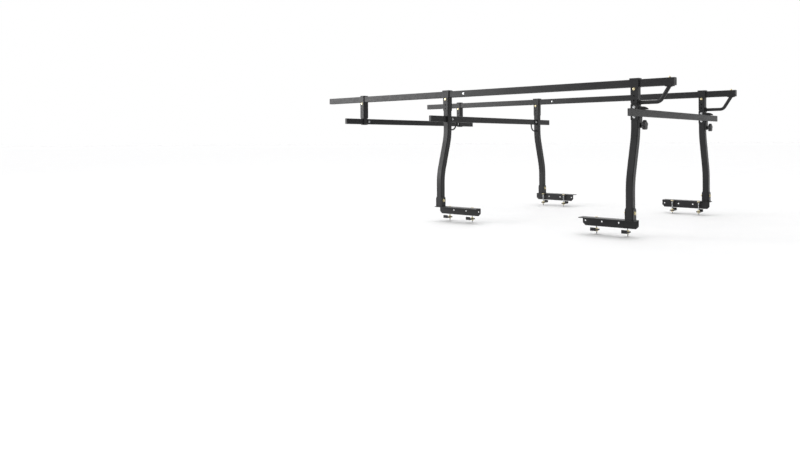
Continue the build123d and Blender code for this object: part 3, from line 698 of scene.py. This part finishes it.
def oval(centre, first, second):
    """Points round an oval with the two half axes given."""
    around = math.pi * (first.length + second.length)
    steps = round(around / RIPPLE_PITCH) * RIPPLE_STEPS
    angles = [2 * math.pi * k / steps for k in range(steps)]
    return [centre + first * math.cos(angle) + second * math.sin(angle) for angle in angles]


def base_beads(side, end):
    """Beads where the two ears stand on the base's pad."""
    post_low, post_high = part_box(f"post_{side}_{end}")
    outer = post_low.x if side == "left" else post_high.x
    inward = 1 if side == "left" else -1
    near, far = (outer + inward * distance for distance in EAR_BEAD)
    beads = []
    for y in (post_low.y - EAR_GAP - EAR_THICK, post_high.y + EAR_GAP + EAR_THICK):
        beads.append(bead(straight((near, y, PAD_THICK), (far, y, PAD_THICK))))
    return beads


def brace_beads(side):
    """Beads round the brace tube where it meets its two plates."""
    low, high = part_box(f"rear_brace_{side}")
    centre_x = (low.x + high.x) / 2
    across, rise = Vector((BRACE_RADIUS, 0, 0)), Vector((0, 0, BRACE_RADIUS))
    along = Vector((0, BRACE_RADIUS * BRACE_SLANT, 0))
    lower = Vector((centre_x, high.y - BRACE_PLATE, low.z + BRACE_HALF_PLATE))
    top = Vector((centre_x, low.y + BRACE_TOP, high.z - BRACE_PLATE))
    return [bead(oval(lower, across, rise), closed=True, normal=BACK),
            bead(oval(top, across, along), closed=True)]


def gusset_beads(side):
    """Beads round the two ends of the bent bar in the front crossbar's corner."""
    low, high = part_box(f"gusset_{side}")
    radius = (high.y - low.y) / 2
    y = (low.y + high.y) / 2
    if side == "left":
        bar_x, post_face = high.x - radius, low.x
    else:
        bar_x, post_face = low.x + radius, high.x
    across, along, rise = Vector((radius, 0, 0)), Vector((0, radius, 0)), Vector((0, 0, radius))
    on_bar = Vector((bar_x, y, high.z))
    on_post = Vector((post_face, y, low.z + radius))
    return [bead(oval(on_bar, across, along), closed=True),
            bead(oval(on_post, along, rise), closed=True, normal=Vector((1, 0, 0)))]


def hanger_beads(side):
    """Beads that hold the hanger's ears and plate to the removable crossbar."""
    low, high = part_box(f"crossbar_hanger_{side}")
    bar_low, bar_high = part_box("crossbar_rear")
    start, end = low.x + HANGER_EAR, high.x - HANGER_EAR
    beads = [bead(straight((start, bar_high.y, bar_low.z), (end, bar_high.y, bar_low.z)))]
    front, rear = bar_high.y - HANGER_FRONT, bar_low.y + HANGER_REAR
    for x in (low.x, start, end, high.x):
        beads.append(bead(straight((x, front, bar_high.z), (x, rear, bar_high.z))))
    return beads


for side in SIDES:
    beads = brace_beads(side) + gusset_beads(side)
    for end in ENDS:
        beads += base_beads(side, end)
    make_piece(f"weld_beads_{side}", joined(beads), "rack_frame", "black_powder_coat", sharp=60)
    make_piece(f"weld_beads_rear_crossbar_{side}", joined(hanger_beads(side)), "rear_crossbar",
               "black_powder_coat", sharp=60)


# ---------------------------------------------------------------- studio
BRIGHT_SIDE = (0.50, 0.86, 0.10)    # way along which the surroundings are brightest
DIM_AT, BRIGHT_AT = -0.25, 0.50     # how far along it they reach the levels below
DIM, BRIGHT = 0.12, 1.0
FLOOR_RADIUS, FLOOR_STEPS, FLOOR_GAP = 120.0, 96, 1 * MM
SOFT_BOX_PLACE, SOFT_BOX_AIM = (-6.0, 6.5, 2.2), (0, 0.4, 0.5)
SOFT_BOX_WIDTH, SOFT_BOX_POWER = 3.6, 320
SUN_STRENGTH, SUN_SPREAD = 1.9, math.radians(120)
CAMERA_PLACE = (-5.0271, -2.3662, 0.5243)
CAMERA_TURN = (49.863, -0.183, -0.307)    # degrees to the right of +Y, up, and of roll
SENSOR, LENS, LENS_SHIFT = 36.0, 29.86, -0.103
CLIP_NEAR, CLIP_FAR = 0.05, 200


def studio_floor():
    """Pale round floor, so wide that its edge is lost in the white surroundings."""
    floor_z = CAD_BOX[0][2] - FLOOR_GAP
    mesh = bpy.data.meshes.new("studio_floor")
    verts = circle(FLOOR_RADIUS, floor_z, FLOOR_STEPS)
    mesh.from_pydata(verts, [], [tuple(range(len(verts)))])
    mesh.materials.append(pale_floor())
    floor = bpy.data.objects.new("studio_floor", mesh)
    bpy.context.scene.collection.objects.link(floor)


def studio_world():
    """Soft light, bright from the front right and dim from the rear left; the camera sees white."""
    world = bpy.data.worlds.new("studio")
    world.use_nodes = True
    tree = world.node_tree
    background = tree.nodes["Background"]
    background.inputs["Color"].default_value = (1, 1, 1, 1)
    direction = tree.nodes.new("ShaderNodeTexCoord").outputs["Generated"]
    facing = tree.nodes.new("ShaderNodeVectorMath")
    facing.operation = "DOT_PRODUCT"
    facing.inputs[1].default_value = BRIGHT_SIDE
    tree.links.new(direction, facing.inputs[0])
    share = tree.nodes.new("ShaderNodeMapRange")
    share.inputs["From Min"].default_value = DIM_AT
    share.inputs["From Max"].default_value = BRIGHT_AT
    share.inputs["To Min"].default_value = DIM
    share.inputs["To Max"].default_value = BRIGHT
    tree.links.new(facing.outputs["Value"], share.inputs["Value"])
    seen_by_camera = tree.nodes.new("ShaderNodeLightPath").outputs["Is Camera Ray"]
    backdrop = tree.nodes.new("ShaderNodeMath")
    backdrop.operation = "MAXIMUM"
    tree.links.new(share.outputs["Result"], backdrop.inputs[0])
    tree.links.new(seen_by_camera, backdrop.inputs[1])
    tree.links.new(backdrop.outputs["Value"], background.inputs["Strength"])
    bpy.context.scene.world = world


def soft_box():
    """Large square area light at the front left, aimed at the rack."""
    light = bpy.data.lights.new("front_left", "AREA")
    light.shape = "RECTANGLE"
    light.size, light.size_y = SOFT_BOX_WIDTH, SOFT_BOX_WIDTH
    light.energy = SOFT_BOX_POWER
    lamp = bpy.data.objects.new("front_left", light)
    lamp.location = SOFT_BOX_PLACE
    aim = Vector(SOFT_BOX_AIM) - Vector(SOFT_BOX_PLACE)
    lamp.rotation_euler = aim.to_track_quat("-Z", "Y").to_euler()
    bpy.context.scene.collection.objects.link(lamp)


def overhead_light():
    """Broad sun straight above, so soft that it casts only faint shadows."""
    light = bpy.data.lights.new("overhead", "SUN")
    light.energy = SUN_STRENGTH
    light.angle = SUN_SPREAD
    bpy.context.scene.collection.objects.link(bpy.data.objects.new("overhead", light))


def camera():
    """Camera behind the driver's side, nearly level, half way up the posts."""
    yaw, pitch, roll = (math.radians(angle) for angle in CAMERA_TURN)
    ahead = Vector((math.sin(yaw), math.cos(yaw), 0))
    right = Vector((math.cos(yaw), -math.sin(yaw), 0))
    look = ahead * math.cos(pitch) + UP * math.sin(pitch)
    over = UP * math.cos(pitch) - ahead * math.sin(pitch)
    x_axis = right * math.cos(roll) + over * math.sin(roll)
    y_axis = over * math.cos(roll) - right * math.sin(roll)
    data = bpy.data.cameras.new("camera")
    data.sensor_width = SENSOR
    data.lens = LENS
    data.shift_y = LENS_SHIFT
    data.clip_start, data.clip_end = CLIP_NEAR, CLIP_FAR
    cam = bpy.data.objects.new("camera", data)
    turn = Matrix((x_axis, y_axis, -look)).transposed().to_4x4()
    cam.matrix_world = Matrix.Translation(CAMERA_PLACE) @ turn
    bpy.context.scene.collection.objects.link(cam)
    bpy.context.scene.camera = cam


bpy.context.scene.view_settings.view_transform = "Standard"
studio_floor()
studio_world()
soft_box()
overhead_light()
camera()
